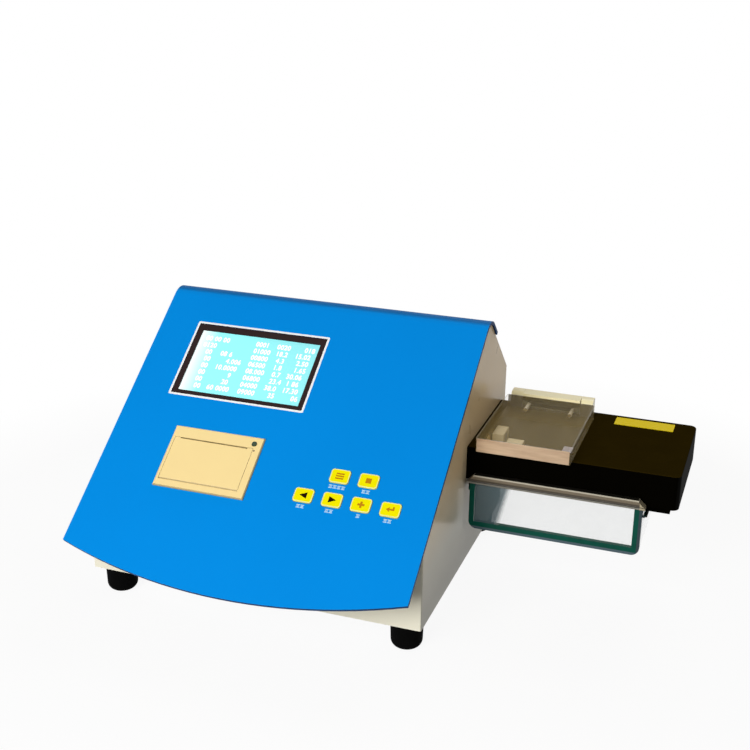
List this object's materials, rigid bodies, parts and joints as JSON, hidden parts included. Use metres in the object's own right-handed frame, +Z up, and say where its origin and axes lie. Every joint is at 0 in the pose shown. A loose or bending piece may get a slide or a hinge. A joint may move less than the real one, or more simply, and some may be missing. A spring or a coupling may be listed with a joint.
{
  "type": "tablet hardness tester",
  "caption": "Bench tester that crushes a tablet between jaws under a hinged lid, with a sloped display, keypad and printer panel and a crumb tray.",
  "frame": {"origin": "middle of the footprint, on the surface the feet stand on", "axes": "+Z up, +X from the housing towards the arm, -Y towards the user"},
  "size_m": [0.477, 0.3166, 0.2293],
  "materials": {
    "housing_paint": "smooth cream-white enamel",
    "panel_blue": "smooth blue enamel",
    "zinc_steel": "zinc plated",
    "foot_rubber": "matt black",
    "bezel_black": "matt brown-black",
    "display_glass": "lit cyan display",
    "circuit_board": "green solder mask",
    "printer_beige": "fine satin",
    "roller_rubber": "satin",
    "head_black": "satin",
    "paper_white": "thermal paper",
    "button_green": "dark green",
    "lamp_red": "small lamp",
    "key_yellow": "yellow membrane key",
    "supply_case": "perforated cover",
    "inlet_black": "moulded black",
    "port_steel": "nickel plated",
    "drive_aluminium": "machined",
    "motor_black": "satin black",
    "shaft_steel": "ground",
    "bronze": "turned bronze",
    "jaw_steel": "ground steel",
    "rest_polished": "polished",
    "arm_black": "satin black",
    "label_yellow": "blank yellow strip",
    "tray_glass": "clear with green edges",
    "rim_steel": "bevelled, polished, with one groove",
    "lid_acrylic": "clear cast acrylic, polished edges",
    "hinge_cream": "cream"
  },
  "bodies": {
    "housing": {"arm_body": "arm_black", "arm_bolts": "zinc_steel", "arm_bottom_plate": "arm_black", "arm_label": "label_yellow", "base_plate": "zinc_steel", "bearing_block": "drive_aluminium", "case_fasteners": "zinc_steel", "deck_pillars": "drive_aluminium", "deck_plate": "drive_aluminium", "drive_motor": "motor_black", "feet": "foot_rubber", "fixed_jaw": "jaw_steel", "front_panel": "panel_blue", "guide_block": "jaw_steel", "guide_rod": "shaft_steel", "hinge_ears": "hinge_cream", "hinge_pin": "shaft_steel", "housing_shell": "housing_paint", "keypad_board": "circuit_board", "lcd_bezel": "bezel_black", "lcd_board": "circuit_board", "lcd_glass": "display_glass", "load_cell": "drive_aluminium", "main_board": "circuit_board", "motor_bracket": "drive_aluminium", "mount_plate": "drive_aluminium", "power_inlet": "inlet_black", "power_supply": "supply_case", "printer_case": "printer_beige", "printer_head": "head_black", "printer_led": "lamp_red", "ram_bush": "bronze", "screw_bearing": "shaft_steel", "serial_port": "port_steel", "standoffs": "zinc_steel", "tablet_rest": "rest_polished", "tray_rails": "arm_black"},
    "lid": {"lid": "lid_acrylic", "lid_screws": "zinc_steel", "hinge_knuckle": "hinge_cream"},
    "tray": {"tray": "tray_glass", "tray_rim": "rim_steel"},
    "ram": {"ram_carriage": "drive_aluminium", "ram_nut": "bronze", "ram_tube": "shaft_steel", "moving_jaw": "jaw_steel"},
    "screw": {"motor_shaft": "shaft_steel", "shaft_coupling": "drive_aluminium", "lead_screw": "shaft_steel"},
    "printer_door": {"printer_door": "printer_beige"},
    "platen": {"platen_roller": "roller_rubber"},
    "paper": {"paper_roll": "paper_white"},
    "feed_button": {"feed_button": "button_green"},
    "power_rocker": {"power_rocker": "inlet_black"},
    "key_left": {"key_left": "key_yellow"},
    "key_right": {"key_right": "key_yellow"},
    "key_plus": {"key_plus": "key_yellow"},
    "key_back": {"key_back": "key_yellow"},
    "key_set": {"key_set": "key_yellow"},
    "key_stop": {"key_stop": "key_yellow"}
  },
  "joints": [
    {"name": "lid_hinge", "type": "hinge", "parent": "housing", "child": "lid", "pos_m": [0.1099, 0.13028, 0.1452], "axis": [-1, 0, 0], "range_deg": [0, 95]},
    {"name": "tray_slide", "type": "slide", "parent": "housing", "child": "tray", "axis": [0, -1, 0], "range_m": [0, 0.085]},
    {"name": "ram_slide", "type": "slide", "parent": "housing", "child": "ram", "axis": [1, 0, 0], "range_m": [0, 0.03]},
    {"name": "screw_spin", "type": "hinge", "parent": "housing", "child": "screw", "pos_m": [-0.0625, 0.05328, 0.125], "axis": [1, 0, 0], "range_deg": [0, 2700]},
    {"name": "printer_door_hinge", "type": "hinge", "parent": "housing", "child": "printer_door", "pos_m": [-0.14125, -0.08307, 0.11354], "axis": [1, 0, 0], "range_deg": [0, 85]},
    {"name": "platen_spin", "type": "hinge", "parent": "printer_door", "child": "platen", "pos_m": [-0.14125, -0.05085, 0.12798], "axis": [1, 0, 0], "continuous": true},
    {"name": "paper_spin", "type": "hinge", "parent": "housing", "child": "paper", "pos_m": [-0.1393, -0.05542, 0.10535], "axis": [1, 0, 0], "continuous": true},
    {"name": "feed_press", "type": "slide", "parent": "housing", "child": "feed_button", "axis": [0, 0.5934, -0.8049], "range_m": [0, 0.0006], "stiffness_N_per_m": 400, "springref_m": -0.0005},
    {"name": "rocker_tilt", "type": "hinge", "parent": "housing", "child": "power_rocker", "pos_m": [-0.177, 0.15348, 0.092], "axis": [1, 0, 0], "range_deg": [0, 16]},
    {"name": "key_left_press", "type": "slide", "parent": "housing", "child": "key_left", "axis": [0, 0.5934, -0.8049], "range_m": [0, 0.0008], "stiffness_N_per_m": 800, "springref_m": -0.0005},
    {"name": "key_right_press", "type": "slide", "parent": "housing", "child": "key_right", "axis": [0, 0.5934, -0.8049], "range_m": [0, 0.0008], "stiffness_N_per_m": 800, "springref_m": -0.0005},
    {"name": "key_plus_press", "type": "slide", "parent": "housing", "child": "key_plus", "axis": [0, 0.5934, -0.8049], "range_m": [0, 0.0008], "stiffness_N_per_m": 800, "springref_m": -0.0005},
    {"name": "key_back_press", "type": "slide", "parent": "housing", "child": "key_back", "axis": [0, 0.5934, -0.8049], "range_m": [0, 0.0008], "stiffness_N_per_m": 800, "springref_m": -0.0005},
    {"name": "key_set_press", "type": "slide", "parent": "housing", "child": "key_set", "axis": [0, 0.5934, -0.8049], "range_m": [0, 0.0008], "stiffness_N_per_m": 800, "springref_m": -0.0005},
    {"name": "key_stop_press", "type": "slide", "parent": "housing", "child": "key_stop", "axis": [0, 0.5934, -0.8049], "range_m": [0, 0.0008], "stiffness_N_per_m": 800, "springref_m": -0.0005}
  ],
  "couplings": [
    {"joint": "screw_spin", "follows": "ram_slide", "rad_per_m": 1570.8}
  ]
}
